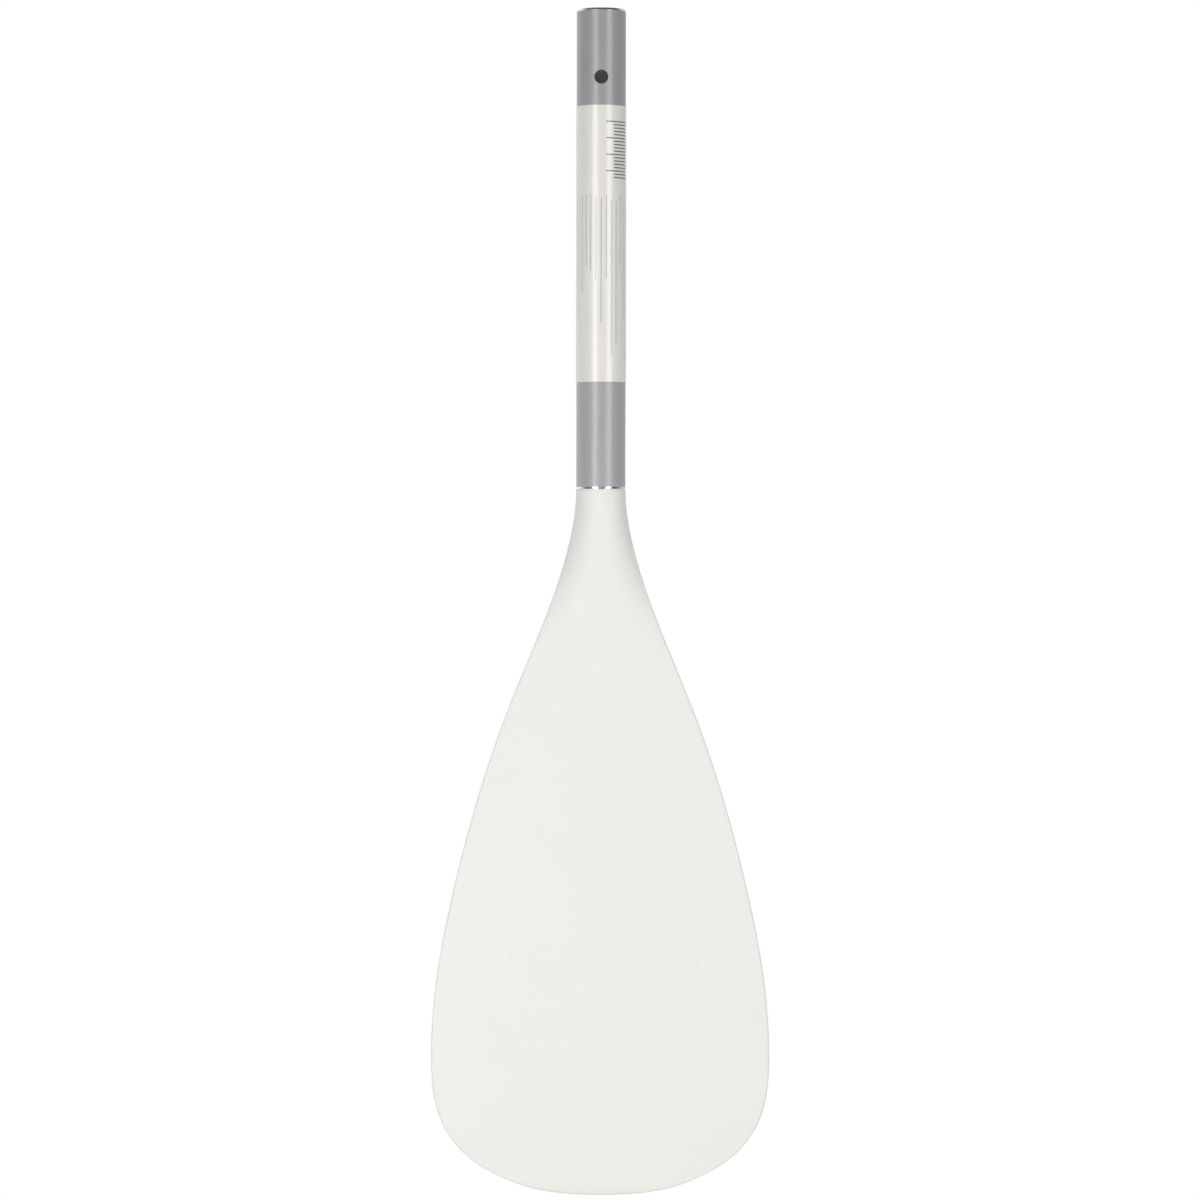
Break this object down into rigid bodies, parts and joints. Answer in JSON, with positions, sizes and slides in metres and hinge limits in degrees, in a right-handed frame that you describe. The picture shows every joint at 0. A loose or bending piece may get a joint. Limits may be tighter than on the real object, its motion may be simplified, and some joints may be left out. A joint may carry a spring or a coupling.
{
  "type": "paddle blade section",
  "caption": "Lower section of a take-apart stand-up paddle: a white moulded blade on a grey tube with a snap-button hole.",
  "frame": {"origin": "centre of the shaft tube's open mouth", "axes": "+Z out of the mouth along the shaft, away from the blade; the power face looks to -Y; +X across the blade"},
  "size_m": [0.206, 0.0303, 0.722],
  "materials": {
    "blade_plastic": "satin",
    "grey_tube": "satin",
    "adhesive": "gloss",
    "foam": "matte",
    "label_film": "satin"
  },
  "bodies": {
    "root": {"blade": "blade_plastic", "shaft_tube": "grey_tube", "adhesive": "adhesive", "float_plug": "foam", "label": "label_film"}
  },
  "joints": []
}
